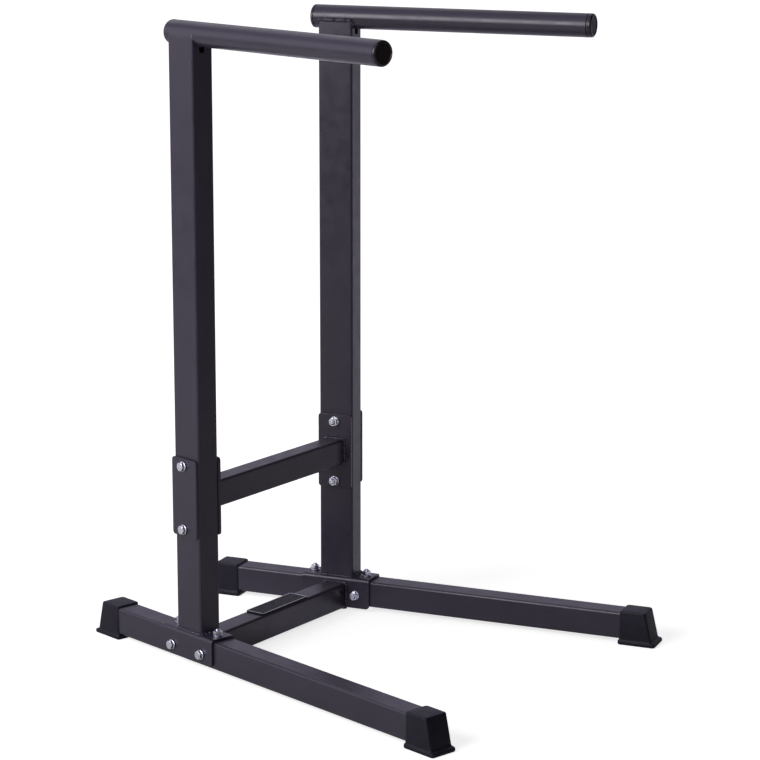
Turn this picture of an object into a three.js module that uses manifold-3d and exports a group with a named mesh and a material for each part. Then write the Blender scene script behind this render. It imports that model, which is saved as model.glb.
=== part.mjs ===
// Dip station: two splayed side frames joined by a base bar and a mid bar.
// Millimetres, +Z up, standing on z = 0, with the handles reaching towards -Y.
//
// Each side frame has its own upright plane. In that plane Y runs along the runner and X across it,
// and the plane turns outwards by the splay angle about the post's centre line.

import * as THREE from 'three';
import { mergeVertices } from 'three/addons/utils/BufferGeometryUtils.js';
import Module from 'manifold-3d';

const wasm = await Module();
wasm.setup();

// Layout of the stand
const postSpacing = 388;
const splayDegrees = 12.4;
const handleAxisHeight = 1006;
const midBarAxisHeight = 279.5;
const baseBarLift = 5;

// Gap left between faces that rest on each other, and how far a cutting body runs past its work
const seat = 0.3;
const overrun = 100;

// Runners: rectangular tubes on the floor
const runnerWidth = 40;
const runnerHeight = 45;
const runnerWall = 2;
const runnerCorner = 4;
const runnerFrontReach = 546;
const runnerRearReach = 224;

// Posts: rectangular tubes, the long side along the runner
const postDepth = 60;
const postWidth = 40;
const postWall = 2;
const postCorner = 4;
const copeShoulder = 4;
const ventDiameter = 5;
const ventDrop = 4.2;

// Handles: round tubes lying in the posts' copes
const handleDiameter = 38;
const handleWall = 2;
const handleFrontReach = 432;
const handleRearReach = 39.5;

// Handle plugs: moulded caps with a hollow barbed stem
const plugHead = 5;
const plugHeadRound = 2;
const plugDish = 0.8;
const plugDishRim = 4.5;
const plugStem = 16;
const plugStemWall = 2.2;
const plugBarbCount = 1;
const plugBarbHeight = 1;
const plugBarbLength = 10;

// Saddles: folded plates that straddle the runners
const saddlePlate = 4;
const saddleFoldRadius = 2;
const saddleLegCorner = 6;
const outerLegRise = 5;
const innerLegDrop = 3.5;
const topBoltMargin = 10;
const saddleEndMargin = 14;
const sideBoltDrop = 2.5;

// Cross bars: rectangular tubes with ends cut to the splay
const baseBarHeight = 44;
const baseBarDepth = 40;
const midBarHeight = 44;
const midBarDepth = 35;
const barWall = 2;
const barCorner = 4;

// Joint plates on both faces of each post
const jointPlate = 5;
const jointPlateHeight = 127;
const jointPlateCorner = 5;
const jointBoltMargin = 12;

// Badge plate on the base bar
const badgeLength = 122;
const badgeSideMargin = 1.5;
const badgeThickness = 2.5;
const badgeCorner = 4;
const badgeRim = 3;
const badgeRecess = 0.5;
const badgeOffset = 6;

// Fasteners: hexagon bolts, round-headed carriage bolts, nuts and plain washers
const boltDiameter = 8;
const boltFlats = 13;
const boltHead = 5.3;
const boltNut = 6.5;
const boltChamfer = 1;
const boltStandOut = 3;
const boltHoleClearance = 0.5;
const boltPassing = 1.5;
const washerDiameter = 16;
const washerThickness = 1.6;
const sideBoltMargin = 8;
const carriageHeadDiameter = 20;
const carriageHead = 4.4;
const carriageRim = 0.9;
const carriageNeck = 4;

// Feet: moulded sockets with a sloped end and a flared lip
const footSole = 9;
const footTopWall = 2.5;
const footSideWall = 1.5;
const footEndWall = 5;
const footSocket = 38.5;
const footEndSlope = 10.5;
const footSideSlope = 0.5;
const footLip = 7.5;
const footLipSide = 2;
const footLipHeight = 7;
const footLipBlend = 5;
const footEdge = 1.5;
const footCorner = 4;

// Shares of the foot's blend from lip to wall: how far up, and how much of the lip is left
const footBlendShares = [[0, 1], [0.25, 0.55], [0.55, 0.2], [1, 0]];

// How finely round shapes are divided
const cornerSteps = 4;
const tubeSteps = 28;
const boltSteps = 12;
const washerSteps = 18;
const domeSteps = 3;
const plugRoundSteps = 2;

// Values worked out from the sizes above
const splay = THREE.MathUtils.degToRad(splayDegrees);
const runnerBottom = footSole;
const runnerTop = runnerBottom + runnerHeight;
const runnerAxisHeight = (runnerBottom + runnerTop) / 2;
const saddleTop = runnerTop + seat + saddlePlate;
const saddleFace = runnerWidth / 2 + seat + saddlePlate;
const jointFace = postWidth / 2 + seat + jointPlate;
const postBottom = saddleTop + seat;
const holeRadius = boltDiameter / 2 + boltHoleClearance;
const boltCornerRadius = boltFlats / Math.sqrt(3);
const washerRadius = washerDiameter / 2;
const sideBoltReach = baseBarDepth / 2 / Math.cos(splay) + sideBoltMargin + washerRadius;
const topBoltReach = Math.max(postDepth / 2 + topBoltMargin + washerRadius,
  sideBoltReach + boltDiameter + boltPassing);
const saddleLength = 2 * (Math.max(topBoltReach, sideBoltReach) + saddleEndMargin);
const baseBarAxisHeight = baseBarLift + baseBarHeight / 2;
const jointBoltRise = jointPlateHeight / 2 - jointBoltMargin;

// Finishes
const steelPaint = { color: 0x35333b, roughness: 0.5, metalness: 0.3 };
const blackMoulding = { color: 0x242328, roughness: 0.7, metalness: 0 };
const zincPlate = { color: 0xc9ccd1, roughness: 0.35, metalness: 0.9 };
const badgeFace = { color: 0x1d1c20, roughness: 0.4, metalness: 0.1 };

// Closed solids

// A geometry with shared corners, no collapsed triangles and its faces pointing out.
function closed(geometry) {
  const bare = geometry.clone();
  bare.deleteAttribute('normal');
  bare.deleteAttribute('uv');
  const merged = mergeVertices(bare, 1e-4);
  const place = merged.getAttribute('position');
  const corners = [];
  const a = new THREE.Vector3();
  const b = new THREE.Vector3();
  const c = new THREE.Vector3();
  let volume = 0;
  for (let i = 0; i < merged.index.count; i += 3) {
    const [p, q, r] = [0, 1, 2].map((step) => merged.index.getX(i + step));
    if (p === q || q === r || r === p) continue;
    corners.push(p, q, r);
    a.fromBufferAttribute(place, p);
    b.fromBufferAttribute(place, q);
    c.fromBufferAttribute(place, r);
    volume += a.dot(b.cross(c));
  }
  if (volume < 0) corners.reverse();
  merged.setIndex(corners);
  return merged;
}

function toSolid(geometry) {
  const shape = closed(geometry);
  return new wasm.Manifold(new wasm.Mesh({
    numProp: 3,
    vertProperties: new Float32Array(shape.getAttribute('position').array),
    triVerts: new Uint32Array(shape.index.array),
  }));
}

function toGeometry(solid) {
  const mesh = solid.getMesh();
  const geometry = new THREE.BufferGeometry();
  geometry.setAttribute('position', new THREE.BufferAttribute(new Float32Array(mesh.vertProperties), 3));
  geometry.setIndex(Array.from(mesh.triVerts));
  return geometry;
}

function cut(geometry, tools) {
  return toGeometry(tools.reduce((solid, tool) => solid.subtract(toSolid(tool)), toSolid(geometry)));
}

function join(geometries) {
  return toGeometry(geometries.map(toSolid).reduce((solid, next) => solid.add(next)));
}

function common(geometry, tool) {
  return toGeometry(toSolid(geometry).intersect(toSolid(tool)));
}

// Outlines and plain bodies

function roundedRect(outline, width, height, radius) {
  const x = width / 2;
  const y = height / 2;
  const quarter = Math.PI / 2;
  outline.moveTo(x, -y + radius);
  outline.absarc(x - radius, y - radius, radius, 0, quarter, false);
  outline.absarc(-x + radius, y - radius, radius, quarter, 2 * quarter, false);
  outline.absarc(-x + radius, -y + radius, radius, 2 * quarter, 3 * quarter, false);
  outline.absarc(x - radius, -y + radius, radius, 3 * quarter, 4 * quarter, false);
  return outline;
}

// The outline is drawn in X and Y and pushed along +Z. An arc gets twice the given steps.
function pushed(outline, length, steps = cornerSteps) {
  return new THREE.ExtrudeGeometry(outline, { depth: length, bevelEnabled: false, curveSegments: steps / 2 });
}

// Turns a body from +Z to -Y, so that its outline's Y becomes height.
function alongRunner(geometry) {
  return geometry.rotateX(Math.PI / 2);
}

// Turns a body from +Z to +X, so that its outline lies in Y and Z.
function across(geometry) {
  return geometry.rotateX(Math.PI / 2).rotateZ(Math.PI / 2);
}

function rectTube(width, height, corner, wall, length) {
  const outline = roundedRect(new THREE.Shape(), width, height, corner);
  outline.holes.push(roundedRect(new THREE.Path(), width - 2 * wall, height - 2 * wall, corner - wall));
  return pushed(outline, length);
}

// A round bar centred on the origin, along X, Y or Z.
function bar(radius, length, axis, steps = boltSteps) {
  const rod = new THREE.CylinderGeometry(radius, radius, length, steps);
  if (axis === 'x') rod.rotateZ(Math.PI / 2);
  if (axis === 'z') rod.rotateX(Math.PI / 2);
  return rod;
}

// A body of revolution about +X, from a closed list of [along, radius] points.
function turned(profile, steps) {
  const points = profile.map(([along, radius]) => new THREE.Vector2(radius, along));
  return new THREE.LatheGeometry(points, steps).rotateZ(-Math.PI / 2);
}

// Sides between rings of equal count, closed by a flat cap at each end.
function loft(rings) {
  const count = rings[0].length;
  const middles = [rings[0], rings[rings.length - 1]].map((ring) => {
    const middle = new THREE.Vector3();
    ring.forEach((point) => middle.add(point));
    return middle.divideScalar(count);
  });
  const positions = [...rings.flat(), ...middles].flatMap((point) => point.toArray());
  const index = [];
  for (let i = 0; i < count; i++) {
    const next = (i + 1) % count;
    for (let level = 0; level < rings.length - 1; level++) {
      const low = level * count;
      const high = low + count;
      index.push(low + i, low + next, high + next, low + i, high + next, high + i);
    }
    const top = (rings.length - 1) * count;
    index.push(rings.length * count, next, i);
    index.push(rings.length * count + 1, top + i, top + next);
  }
  const geometry = new THREE.BufferGeometry();
  geometry.setAttribute('position', new THREE.Float32BufferAttribute(positions, 3));
  geometry.setIndex(index);
  return geometry;
}

// Steel pieces of a side frame

function runnerShape() {
  const tube = alongRunner(rectTube(runnerWidth, runnerHeight, runnerCorner, runnerWall,
    runnerFrontReach + runnerRearReach)).translate(0, runnerRearReach, 0);
  const sideHoles = [-sideBoltReach, sideBoltReach].map((y) =>
    bar(holeRadius, runnerWidth + overrun, 'x').translate(0, y, -sideBoltDrop));
  const topHoles = [-topBoltReach, topBoltReach].map((y) =>
    bar(holeRadius, runnerHeight, 'z').translate(0, y, runnerHeight / 2));
  const neckHoles = [-topBoltReach, topBoltReach].map((y) =>
    new THREE.BoxGeometry(2 * holeRadius, 2 * holeRadius, runnerHeight).translate(0, y, -runnerHeight / 2));
  return cut(tube, [...sideHoles, ...topHoles, ...neckHoles]);
}

// The top of the post is cut off at the shoulder and hollowed to the handle's round.
function postShape() {
  const length = handleAxisHeight - copeShoulder - postBottom;
  const tube = rectTube(postWidth, postDepth, postCorner, postWall, length);
  const cope = bar(handleDiameter / 2 + seat, postDepth + overrun, 'y', tubeSteps)
    .translate(0, 0, length + copeShoulder);
  const jointHoles = [-jointBoltRise, jointBoltRise].map((rise) =>
    bar(holeRadius, postWidth + overrun, 'x').translate(0, 0, midBarAxisHeight + rise - postBottom));
  const ventHeight = length + copeShoulder - handleDiameter / 2 - ventDrop;
  const vent = bar(ventDiameter / 2, postDepth, 'y').translate(0, -postDepth / 2, ventHeight);
  return cut(tube, [cope, ...jointHoles, vent]);
}

function handleShape() {
  const radius = handleDiameter / 2;
  const ring = new THREE.Shape().absarc(0, 0, radius, 0, 2 * Math.PI, false);
  ring.holes.push(new THREE.Path().absarc(0, 0, radius - handleWall, 0, 2 * Math.PI, false));
  const tube = pushed(ring, handleFrontReach + handleRearReach, tubeSteps);
  return alongRunner(tube).translate(0, handleRearReach, 0);
}

// A folded plate: the outer leg stops above the runner's underside, the inner one reaches below it.
function saddleShape(side) {
  const inside = runnerWidth / 2 + seat;
  const top = runnerHeight / 2 + seat + saddlePlate;
  const legBottom = -runnerHeight / 2 - innerLegDrop;
  const outerRadius = saddleFoldRadius + saddlePlate;
  const height = top - legBottom;
  const fold = roundedRect(new THREE.Shape(), 2 * saddleFace, height + outerRadius, outerRadius);
  const inner = roundedRect(new THREE.Shape(), 2 * inside, height + outerRadius, saddleFoldRadius);
  const drawn = (outline, length) => alongRunner(pushed(outline, length)).translate(0, length / 2, 0);
  const channel = cut(
    drawn(fold, saddleLength).translate(0, 0, top - (height + outerRadius) / 2),
    [drawn(inner, saddleLength + overrun).translate(0, 0, top - saddlePlate - (height + outerRadius) / 2)],
  );
  const sideView = (bottom, from, to) => {
    const outline = roundedRect(new THREE.Shape(), saddleLength, 2 * (top - bottom), saddleLegCorner);
    return across(pushed(outline, to - from)).translate(from, 0, top);
  };
  const reach = saddleFace + seat;
  const outerBottom = -runnerHeight / 2 + outerLegRise;
  const trim = join([
    sideView(side > 0 ? outerBottom : legBottom, 0, reach),
    sideView(side > 0 ? legBottom : outerBottom, -reach, 0),
  ]);
  const sideHoles = [-sideBoltReach, sideBoltReach].map((y) =>
    bar(holeRadius, 2 * saddleFace + overrun, 'x').translate(0, y, -sideBoltDrop));
  const topHoles = [-topBoltReach, topBoltReach].map((y) =>
    bar(holeRadius, 2 * saddlePlate, 'z').translate(0, y, top));
  return cut(common(channel, trim), [...sideHoles, ...topHoles]);
}

function jointPlateShape() {
  const outline = roundedRect(new THREE.Shape(), postDepth, jointPlateHeight, jointPlateCorner);
  const holes = [-jointBoltRise, jointBoltRise].map((rise) =>
    bar(holeRadius, overrun, 'x').translate(0, 0, rise));
  return cut(across(pushed(outline, jointPlate)), holes);
}

// Moulded pieces

// Outline of the foot at one height: across in X, outwards along the runner in Y.
function footRing(halfWidth, inner, outer, height) {
  const corners = [[1, 1], [-1, 1], [-1, -1], [1, -1]];
  return corners.flatMap(([x, y], quarter) => Array.from({ length: cornerSteps + 1 }, (unused, step) => {
    const angle = (quarter + step / cornerSteps) * Math.PI / 2;
    const end = y > 0 ? outer : inner;
    return new THREE.Vector3(
      x * (halfWidth - footCorner) + footCorner * Math.cos(angle),
      end - y * footCorner + footCorner * Math.sin(angle),
      height,
    );
  }));
}

// The foot stands on z = 0 and its socket opens towards -Y. The runner ends at y = 0.
function footShape() {
  const top = runnerTop + seat + footTopWall;
  const lipTop = footLipHeight + footLipBlend;
  const section = (height, lip, inset) => {
    const down = (top - height) / (top - lipTop);
    const slope = Math.min(down, 1);
    return footRing(
      runnerWidth / 2 + seat + footSideWall + footSideSlope * slope + footLipSide * lip - inset,
      -footSocket - footSideSlope * slope - footLipSide * lip + inset,
      footEndWall + footEndSlope * slope + footLip * lip - inset,
      height,
    );
  };
  const rings = [
    section(0, 1, footEdge),
    section(footEdge, 1, 0),
    ...footBlendShares.map(([up, lip]) => section(footLipHeight + footLipBlend * up, lip, 0)),
    section(top - footEdge, 0, 0),
    section(top - footEdge / 3, 0, footEdge / 3),
    section(top, 0, footEdge),
  ];
  const [width, height] = [runnerWidth + 2 * seat, runnerHeight + 2 * seat];
  const mouth = roundedRect(new THREE.Shape(), width, height, runnerCorner + seat);
  const pocket = alongRunner(pushed(mouth, footSocket + overrun)).translate(0, seat, runnerAxisHeight);
  return cut(loft(rings), [pocket]);
}

// The plug's axis is +X, its head stands on x = 0, and the stem goes into the tube behind it.
function plugShape() {
  const headRadius = handleDiameter / 2;
  const barbRadius = headRadius - handleWall - seat;
  const stemRadius = barbRadius - plugBarbHeight;
  const bore = stemRadius - plugStemWall;
  const barbPitch = plugStem / plugBarbCount;
  const barbs = Array.from({ length: plugBarbCount }, (unused, i) => {
    const tip = -plugStem + barbPitch * i;
    return [[tip, stemRadius], [tip + plugBarbLength, barbRadius], [tip + plugBarbLength, stemRadius]];
  }).flat();
  const rounds = Array.from({ length: plugRoundSteps + 1 }, (unused, i) => {
    const angle = i / plugRoundSteps * Math.PI / 2;
    return [plugHead - plugHeadRound + plugHeadRound * Math.sin(angle),
      headRadius - plugHeadRound + plugHeadRound * Math.cos(angle)];
  });
  return turned([
    [seat, 0],
    [seat, bore],
    [-plugStem, bore],
    ...barbs,
    [0, stemRadius],
    [0, headRadius],
    ...rounds,
    [plugHead, headRadius - plugDishRim],
    [plugHead - plugDish, headRadius - plugDishRim - 2 * plugDish],
    [plugHead - plugDish, 0],
  ], tubeSteps);
}

// Cross bars

// Everything beyond a plane of one side frame, as seen from a bar's own centre.
function endTool(side, face, centre) {
  const depth = postSpacing / 2;
  return new THREE.BoxGeometry(depth, overrun, overrun)
    .translate(side * (depth / 2 - face), 0, 0)
    .rotateZ(side * splay)
    .translate(side * postSpacing / 2, -centre, 0);
}

function crossBarShape(depth, height, face) {
  const tube = across(rectTube(depth, height, barCorner, barWall, postSpacing))
    .translate(-postSpacing / 2, 0, 0);
  return cut(tube, [-1, 1].map((side) => endTool(side, face + seat, barCentre(face))));
}

// A bar meets each plate at the middle of the plate's width.
function barCentre(face) {
  return -face * Math.sin(splay);
}

function badgeShape() {
  const width = baseBarDepth - 2 * badgeSideMargin;
  const plate = pushed(roundedRect(new THREE.Shape(), badgeLength, width, badgeCorner), badgeThickness);
  const field = roundedRect(new THREE.Shape(), badgeLength - 2 * badgeRim, width - 2 * badgeRim,
    badgeCorner - badgeRim / 2);
  return cut(plate, [pushed(field, badgeThickness).translate(0, 0, badgeThickness - badgeRecess)]);
}

// Fasteners, built along +X from their bearing face at x = 0

// A six-sided body with its corners turned off at the far end.
function hexShape(height) {
  const hex = new THREE.CylinderGeometry(boltCornerRadius, boltCornerRadius, height, 6)
    .rotateZ(-Math.PI / 2).translate(height / 2, 0, 0);
  const rounding = turned([
    [-height, 0],
    [-height, boltFlats],
    [height - boltChamfer, boltCornerRadius],
    [height, boltCornerRadius - 2 * boltChamfer],
    [height, 0],
  ], washerSteps);
  return common(hex, rounding);
}

// A shank that ends the stand-out past its nut, behind the bearing face.
function shankShape(grip, rise) {
  const length = grip + boltStandOut;
  return turned([
    [-length, 0],
    [-length, boltDiameter / 2 - boltChamfer],
    [-length + boltChamfer, boltDiameter / 2],
    [rise, boltDiameter / 2],
    [rise, 0],
  ], boltSteps);
}

// The head rests on a washer of its own.
function hexBoltShape(grip) {
  const head = hexShape(boltHead).translate(washerThickness, 0, 0);
  const washer = bar(washerRadius, washerThickness, 'x', washerSteps).translate(washerThickness / 2, 0, 0);
  return join([shankShape(grip, washerThickness), head, washer]);
}

// A domed head over a square neck.
function carriageBoltShape(grip) {
  const dome = Array.from({ length: domeSteps + 1 }, (unused, i) => {
    const angle = i / domeSteps * Math.PI / 2;
    return [carriageRim + (carriageHead - carriageRim) * Math.sin(angle),
      carriageHeadDiameter / 2 * Math.cos(angle)];
  });
  const profile = [[0, 0], [0, carriageHeadDiameter / 2], ...dome.slice(0, -1), [carriageHead, 0]];
  const head = turned(profile, washerSteps);
  const neck = new THREE.BoxGeometry(carriageNeck + carriageRim, boltDiameter, boltDiameter)
    .translate((carriageRim - carriageNeck) / 2, 0, 0);
  return join([shankShape(grip, carriageRim), neck, head]);
}

function washerShape() {
  const disc = bar(washerRadius, washerThickness, 'x', washerSteps).translate(washerThickness / 2, 0, 0);
  return cut(disc, [bar(holeRadius, overrun, 'x')]);
}

function nutShape() {
  return cut(hexShape(boltNut), [bar(boltDiameter / 2 + seat, overrun, 'x')]);
}

// Assembly

const stand = new THREE.Group();

function piece(parent, name, geometry, finish, place, turn = [0, 0, 0]) {
  const mesh = new THREE.Mesh(closed(geometry), new THREE.MeshStandardMaterial(finish));
  mesh.name = name;
  mesh.position.set(...place);
  mesh.rotation.set(...turn);
  parent.add(mesh);
}

// Bolt with its head outside, nut and washer inside, through two outer faces of a joint.
function throughBolt(frame, name, side, face, y, z) {
  const inwards = [0, 0, side > 0 ? Math.PI : 0];
  const outwards = [0, 0, side > 0 ? 0 : Math.PI];
  const nutPlace = face + 2 * seat + washerThickness;
  const grip = face + seat + nutPlace + boltNut;
  piece(frame, `${name}_bolt`, hexBoltShape(grip), zincPlate, [side * (face + seat), y, z], outwards);
  piece(frame, `${name}_washer`, washerShape(), zincPlate, [-side * (face + seat), y, z], inwards);
  piece(frame, `${name}_nut`, nutShape(), zincPlate, [-side * nutPlace, y, z], inwards);
}

// Carriage bolt from under the runner, with its washer and nut on top of the saddle.
function standingBolt(frame, name, y) {
  const headPlace = runnerBottom - seat;
  const washerPlace = saddleTop + seat;
  const nutPlace = washerPlace + washerThickness + seat;
  const up = [0, -Math.PI / 2, 0];
  const down = [0, Math.PI / 2, 0];
  const grip = nutPlace + boltNut - headPlace;
  piece(frame, `${name}_bolt`, carriageBoltShape(grip), zincPlate, [0, y, headPlace], down);
  piece(frame, `${name}_washer`, washerShape(), zincPlate, [0, y, washerPlace], up);
  piece(frame, `${name}_nut`, nutShape(), zincPlate, [0, y, nutPlace], up);
}

function sideFrame(name, side) {
  const frame = new THREE.Group();
  frame.position.x = side * postSpacing / 2;
  frame.rotation.z = side * splay;
  const forward = [0, 0, Math.PI];
  piece(frame, `${name}_runner`, runnerShape(), steelPaint, [0, 0, runnerAxisHeight]);
  piece(frame, `${name}_front_foot`, footShape(), blackMoulding, [0, -runnerFrontReach, 0], forward);
  piece(frame, `${name}_rear_foot`, footShape(), blackMoulding, [0, runnerRearReach, 0]);
  piece(frame, `${name}_saddle`, saddleShape(side), steelPaint, [0, 0, runnerAxisHeight]);
  piece(frame, `${name}_post`, postShape(), steelPaint, [0, 0, postBottom]);
  piece(frame, `${name}_handle`, handleShape(), steelPaint, [0, 0, handleAxisHeight]);
  piece(frame, `${name}_front_plug`, plugShape(), blackMoulding,
    [0, -handleFrontReach - seat, handleAxisHeight], [0, 0, -Math.PI / 2]);
  piece(frame, `${name}_rear_plug`, plugShape(), blackMoulding,
    [0, handleRearReach + seat, handleAxisHeight], [0, 0, Math.PI / 2]);
  const plates = { outer: side * (jointFace - jointPlate), inner: -side * (jointFace - jointPlate) };
  for (const [where, x] of Object.entries(plates)) {
    const start = x > 0 ? x : x - jointPlate;
    piece(frame, `${name}_${where}_joint_plate`, jointPlateShape(), steelPaint, [start, 0, midBarAxisHeight]);
  }
  for (const [level, rise] of [['upper', jointBoltRise], ['lower', -jointBoltRise]]) {
    throughBolt(frame, `${name}_${level}_joint`, side, jointFace, 0, midBarAxisHeight + rise);
  }
  const sideBoltHeight = runnerAxisHeight - sideBoltDrop;
  for (const [end, toward] of [['front', -1], ['rear', 1]]) {
    throughBolt(frame, `${name}_${end}_side`, side, saddleFace, toward * sideBoltReach, sideBoltHeight);
    standingBolt(frame, `${name}_${end}_top`, toward * topBoltReach);
  }
  stand.add(frame);
}

sideFrame('left', -1);
sideFrame('right', 1);

piece(stand, 'base_bar', crossBarShape(baseBarDepth, baseBarHeight, saddleFace), steelPaint,
  [0, barCentre(saddleFace), baseBarAxisHeight]);
piece(stand, 'mid_bar', crossBarShape(midBarDepth, midBarHeight, jointFace), steelPaint,
  [0, barCentre(jointFace), midBarAxisHeight]);
piece(stand, 'badge_plate', badgeShape(), badgeFace,
  [badgeOffset, barCentre(saddleFace), baseBarLift + baseBarHeight + seat]);

// The origin is under the middle of the stand's footprint.
stand.updateMatrixWorld(true);
const footprint = new THREE.Box3().setFromObject(stand, true);
stand.position.y = -(footprint.min.y + footprint.max.y) / 2;

export default stand;
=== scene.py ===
import math
import random

import bmesh
import bpy
from bpy.props import FloatProperty, FloatVectorProperty, IntProperty, PointerProperty
from mathutils import Matrix, Vector


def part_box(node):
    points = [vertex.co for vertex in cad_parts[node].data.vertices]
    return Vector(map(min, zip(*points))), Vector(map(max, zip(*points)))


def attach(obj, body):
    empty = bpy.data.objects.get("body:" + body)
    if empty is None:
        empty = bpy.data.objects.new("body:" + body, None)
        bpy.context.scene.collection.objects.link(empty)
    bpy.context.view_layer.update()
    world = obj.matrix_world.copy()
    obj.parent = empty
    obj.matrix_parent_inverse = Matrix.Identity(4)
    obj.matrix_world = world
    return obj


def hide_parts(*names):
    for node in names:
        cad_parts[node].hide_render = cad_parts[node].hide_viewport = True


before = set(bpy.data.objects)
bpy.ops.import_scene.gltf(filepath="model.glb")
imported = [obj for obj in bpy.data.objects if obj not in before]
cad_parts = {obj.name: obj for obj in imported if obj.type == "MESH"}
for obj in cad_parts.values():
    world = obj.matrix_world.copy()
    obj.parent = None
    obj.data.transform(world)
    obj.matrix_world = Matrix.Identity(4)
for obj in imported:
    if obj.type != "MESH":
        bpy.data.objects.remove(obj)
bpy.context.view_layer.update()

bl_info = {
    "name": "Dip Station",
    "version": (1, 0, 0),
    "blender": (4, 5, 0),
    "location": "View3D > Sidebar > Dip Station",
    "description": "Dresses a steel dip station with its coat, welds, moulded feet, plugs and fasteners",
    "category": "Object",
}

BODY = "root"
MM = 0.001
TURN = 2 * math.pi
SIDES = ("left", "right")
# Places of the colour sockets on a Mix node
MIX_LOW, MIX_HIGH, MIX_RESULT = 6, 7, 2
# Rings that make up one ripple of a weld bead
RIPPLE_RINGS = 4


# Places read from the frame

def middle(node):
    low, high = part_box(node)
    return (low + high) / 2


class SideFrame:
    """One side frame: X across, Y along the runner towards the rear, and Z up."""

    def __init__(self, name):
        self.name = name
        self.outward = -1 if name == "left" else 1
        post = middle(f"{name}_post")
        along = middle(f"{name}_rear_top_washer") - middle(f"{name}_front_top_washer")
        turn = Matrix.Rotation(math.atan2(-along.x, along.y), 4, "Z")
        self.matrix = Matrix.Translation((post.x, post.y, 0)) @ turn
        self.inverse = self.matrix.inverted()

    def middle(self, piece):
        return self.inverse @ middle(f"{self.name}_{piece}")

    def points(self, piece):
        """A node's corner points in this side frame's own directions."""
        return [self.inverse @ v.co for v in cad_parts[f"{self.name}_{piece}"].data.vertices]

    def reach(self, piece):
        """Lowest and highest corner of a node in this side frame's own directions."""
        points = self.points(piece)
        return [Vector([pick(p[i] for p in points) for i in range(3)]) for pick in (min, max)]

    def radius(self, piece):
        """Radius of a round node, from its height."""
        low, high = self.reach(piece)
        return (high.z - low.z) / 2

    def place(self, point, quarters):
        """A point's place in the scene, turned about the upright by quarter turns."""
        return self.matrix @ (Matrix.Translation(point) @ Matrix.Rotation(quarters * math.pi / 2, 4, "Z"))


# Settings a user would change

def a_colour(name, description, value):
    return FloatVectorProperty(
        name=name, description=description, subtype="COLOR", size=3, min=0, max=1, default=value)


def a_length(name, description, millimetres):
    return FloatProperty(name=name, description=description, unit="LENGTH", default=millimetres * MM)


def a_share(name, description, value):
    return FloatProperty(
        name=name, description=description, subtype="FACTOR", min=0, max=1, default=value)


class CoatSettings(bpy.types.PropertyGroup):
    """Powder coat on the steel."""

    colour: a_colour("Colour", "Colour of the powder coat", (0.026, 0.0198, 0.036))
    roughness: a_share("Roughness", "How dull the coat is", 0.32)
    peel: a_length("Orange peel", "Size of the coat's soft ripples", 2.4)
    grain: a_length("Grain", "Size of the coat's fine grain", 0.7)
    # Edge wear together with a painted highlight: how much lighter the coat's edges are painted
    edge_wear_and_highlight: a_share("Edge wear", "How much lighter the coat is on its edges", 0.12)


class WeldSettings(bpy.types.PropertyGroup):
    """Weld beads under the coat."""

    radius: a_length("Bead", "Radius of a weld bead", 2.7)
    ripple: a_length("Ripple", "Length of one weld ripple", 3.4)
    height: a_share("Ripple height", "Share of the bead's radius that a ripple takes", 0.3)
    unevenness: a_share("Unevenness", "Share of the bead's radius that its lumps take", 0.28)


class MouldingSettings(bpy.types.PropertyGroup):
    """Moulded feet and handle plugs."""

    foot_colour: a_colour("Foot colour", "Colour of the rubber feet", (0.0070, 0.0063, 0.0130))
    plug_colour: a_colour("Plug colour", "Colour of the handle plugs", (0.0115, 0.0080, 0.0105))
    collar: a_length("Collar", "How far a front plug's collar reaches along the handle", 3.2)
    top_wall: a_length("Foot top wall", "Wall over the runner", 2.5)
    side_wall: a_length("Foot side wall", "Wall beside the runner", 1.5)
    end_wall: a_length("Foot end wall", "Wall past the runner's end", 5)
    socket: a_length("Socket", "How far the foot reaches over the runner", 38.5)
    end_slope: a_length("End slope", "How far the end leans out", 10.5)
    side_slope: a_length("Side slope", "How far each side leans out", 0.5)
    lip: a_length("End lip", "How far the lip stands out at the end", 7.4)
    side_lip: a_length("Side lip", "How far the lip stands out at the sides", 1.9)
    lip_height: a_length("Lip height", "Height of the lip's outer edge", 7)
    lip_blend: a_length("Lip blend", "Height of the hollow curve over the lip", 5)
    lip_round: a_length("Lip round", "Height over which the lip's upper edge turns", 3)
    foot_corner: a_length("Foot corner", "Radius of the foot's upright corners", 4)
    foot_edge: a_length("Foot edge", "Radius of the foot's top and bottom edges", 2.2)


class FastenerSettings(bpy.types.PropertyGroup):
    """Bolts, nuts and washers."""

    colour: a_colour("Zinc", "Colour of the zinc plating", (0.76, 0.79, 0.86))
    diameter: a_length("Bolt diameter", "Outside diameter of the thread", 8)
    thread_pitch: a_length("Pitch", "Pitch of the thread", 1.25)
    thread_depth: a_length("Thread depth", "Depth of the thread", 0.7)
    flats: a_length("Across flats", "Width of heads and nuts across their flats", 13)
    head_height: a_length("Head height", "Height of a bolt's head", 5.3)
    washer: a_length("Washer", "Diameter of a washer", 16)
    washer_height: a_length("Washer thickness", "Thickness of a washer", 1.6)
    dome: a_length("Dome", "Diameter of a carriage bolt's head", 20)
    dome_height: a_length("Dome height", "Height of a carriage bolt's head", 4.4)
    dome_rim: a_length("Dome rim", "Height of the dome's straight rim", 0.9)
    neck: a_length("Square neck", "Height of the square under the dome", 4)
    steps: IntProperty(
        name="Steps", description="Divisions round a bolt", min=12, max=96, default=36)


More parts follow.
